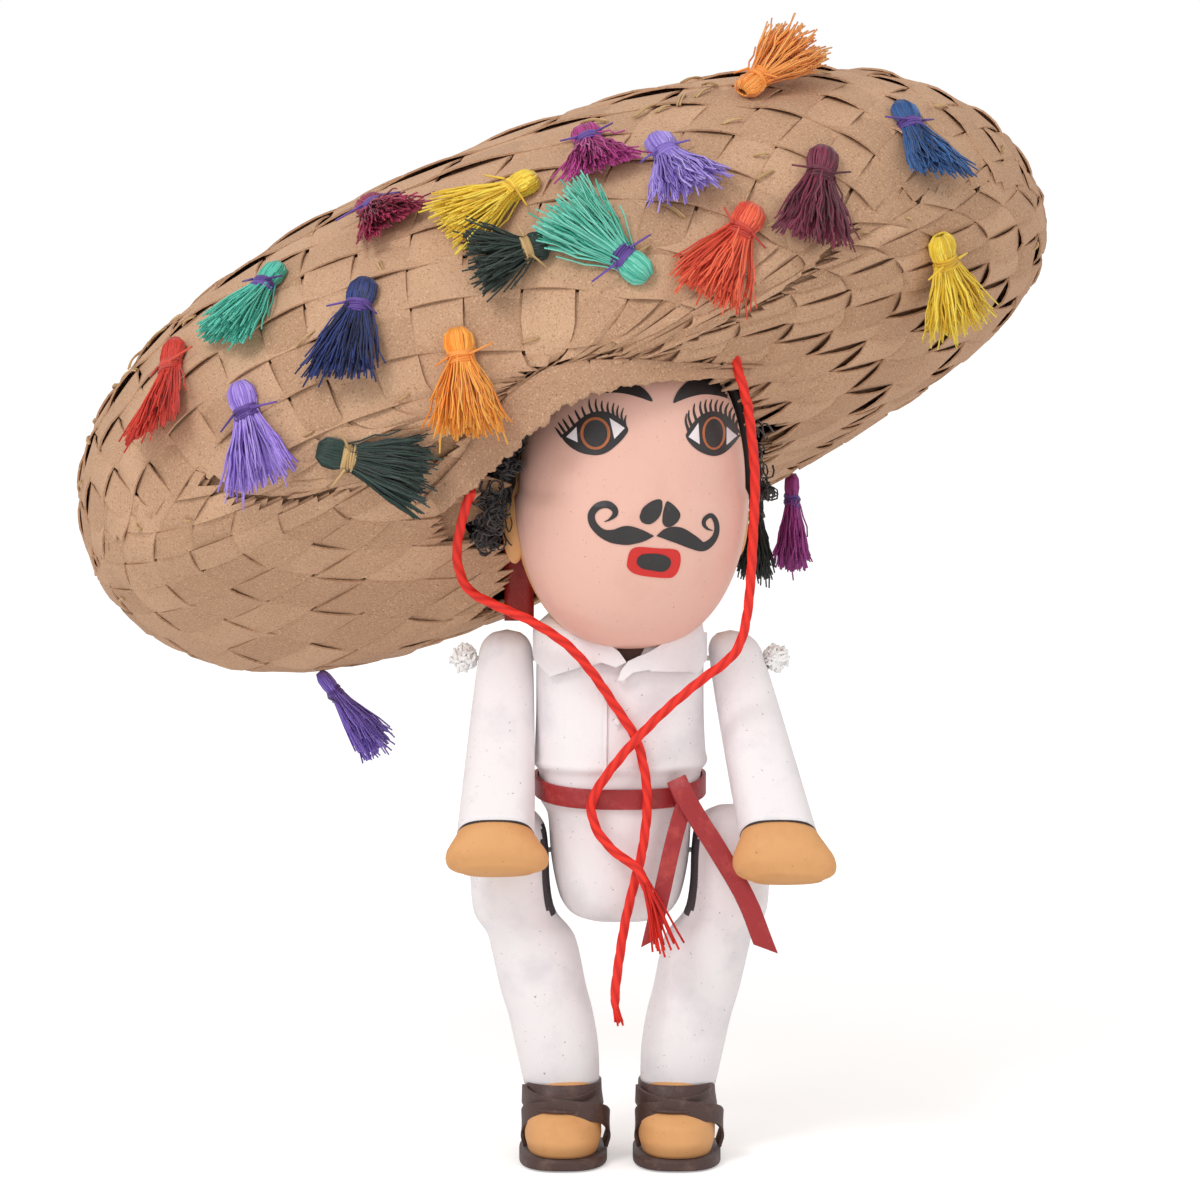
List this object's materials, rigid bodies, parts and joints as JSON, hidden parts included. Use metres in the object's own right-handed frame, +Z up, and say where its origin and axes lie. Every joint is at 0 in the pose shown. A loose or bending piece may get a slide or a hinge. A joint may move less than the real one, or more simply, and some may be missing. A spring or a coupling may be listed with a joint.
{
  "type": "jointed papier-mache doll with plaited hat",
  "caption": "Jointed papier-mache doll in white shirt and trousers, red belt and leather sandals, under a wide tilted plaited cardboard hat with coloured fibre tassels and a red chin cord.",
  "frame": {"origin": "On the ground under the middle of the whole doll's outline, hat and tassels included; the soles stand at z = 0.", "axes": "+Z up, -Y the way the doll faces, +X the doll's left."},
  "size_m": [0.3479, 0.2718, 0.3942],
  "materials": {
    "face_paint": "smooth matt pink paint on papier-mache",
    "skin_paint": "matt tan paint on papier-mache",
    "hair_fibre": "curly black fibre",
    "neck_paint": "dark brown matt paint",
    "white_paint": "thin matt white paint on papier-mache, faint smudges",
    "red_leather": "cut strip of thin red leather, light cut edges",
    "brown_leather": "dark brown leather, matt",
    "cotton_string": "loose white cotton string",
    "kraft_board": "plaited strips of kraft board, raw cut edges",
    "red_cord": "twisted red cord",
    "red_fibre": "loose dyed plant fibre, silky",
    "lavender_fibre": "loose dyed plant fibre, silky",
    "dark_green_fibre": "loose dyed plant fibre, silky",
    "orange_fibre": "loose dyed plant fibre, silky",
    "navy_fibre": "loose dyed plant fibre, silky",
    "turquoise_fibre": "loose dyed plant fibre, silky",
    "crimson_fibre": "loose dyed plant fibre, silky",
    "yellow_fibre": "loose dyed plant fibre, silky",
    "magenta_fibre": "loose dyed plant fibre, silky",
    "maroon_fibre": "loose dyed plant fibre, silky",
    "blue_fibre": "loose dyed plant fibre, silky"
  },
  "bodies": {
    "doll_body": {"face_shell": "face_paint", "head_back": "skin_paint", "hair": "hair_fibre", "neck": "neck_paint", "torso": "white_paint", "belt": "red_leather", "belt_knot": "red_leather", "belt_tail_inner": "red_leather", "belt_tail_outer": "red_leather", "collar_right": "white_paint", "collar_left": "white_paint", "nape_strap": "red_leather", "shoulder_string": "cotton_string", "hip_string": "cotton_string", "hat_crown": "kraft_board", "hat_underside": "kraft_board", "hat_front_edge": "kraft_board", "tassel_red": "red_fibre", "tassel_lavender": "lavender_fibre", "tassel_green": "dark_green_fibre", "tassel_orange": "orange_fibre", "tassel_navy": "navy_fibre", "tassel_teal": "turquoise_fibre", "tassel_crimson": "crimson_fibre", "tassel_yellow": "yellow_fibre", "tassel_green_top": "dark_green_fibre", "tassel_turquoise": "turquoise_fibre", "tassel_magenta": "magenta_fibre", "tassel_lavender_top": "lavender_fibre", "tassel_vermilion": "red_fibre", "tassel_maroon": "maroon_fibre", "tassel_blue": "blue_fibre", "tassel_yellow_left": "yellow_fibre", "tassel_orange_top": "orange_fibre", "tassel_violet_back": "lavender_fibre", "tassel_magenta_back": "magenta_fibre", "tassel_black_back": "dark_green_fibre", "chin_cord_right": "red_cord", "chin_cord_left": "red_cord"},
    "right_arm_body": {"right_sleeve": "white_paint", "right_hand": "skin_paint"},
    "left_arm_body": {"left_sleeve": "white_paint", "left_hand": "skin_paint"},
    "right_leg_body": {"right_leg": "white_paint", "right_foot": "skin_paint", "right_sole": "brown_leather", "right_ankle_strap": "brown_leather", "right_lower_strap": "brown_leather", "right_upper_strap": "brown_leather"},
    "left_leg_body": {"left_leg": "white_paint", "left_foot": "skin_paint", "left_sole": "brown_leather", "left_ankle_strap": "brown_leather", "left_lower_strap": "brown_leather", "left_upper_strap": "brown_leather"}
  },
  "joints": [
    {"name": "right_shoulder", "type": "hinge", "parent": "doll_body", "child": "right_arm_body", "pos_m": [0.02, -0.057, 0.176], "axis": [-1, 0, 0], "range_deg": [0, 60]},
    {"name": "left_shoulder", "type": "hinge", "parent": "doll_body", "child": "left_arm_body", "pos_m": [0.02, -0.057, 0.176], "axis": [-1, 0, 0], "range_deg": [0, 60]},
    {"name": "right_hip", "type": "hinge", "parent": "doll_body", "child": "right_leg_body", "pos_m": [0.02, -0.057, 0.108], "axis": [-1, 0, 0], "range_deg": [-45, 15]},
    {"name": "left_hip", "type": "hinge", "parent": "doll_body", "child": "left_leg_body", "pos_m": [0.02, -0.057, 0.108], "axis": [-1, 0, 0], "range_deg": [-45, 15]}
  ]
}
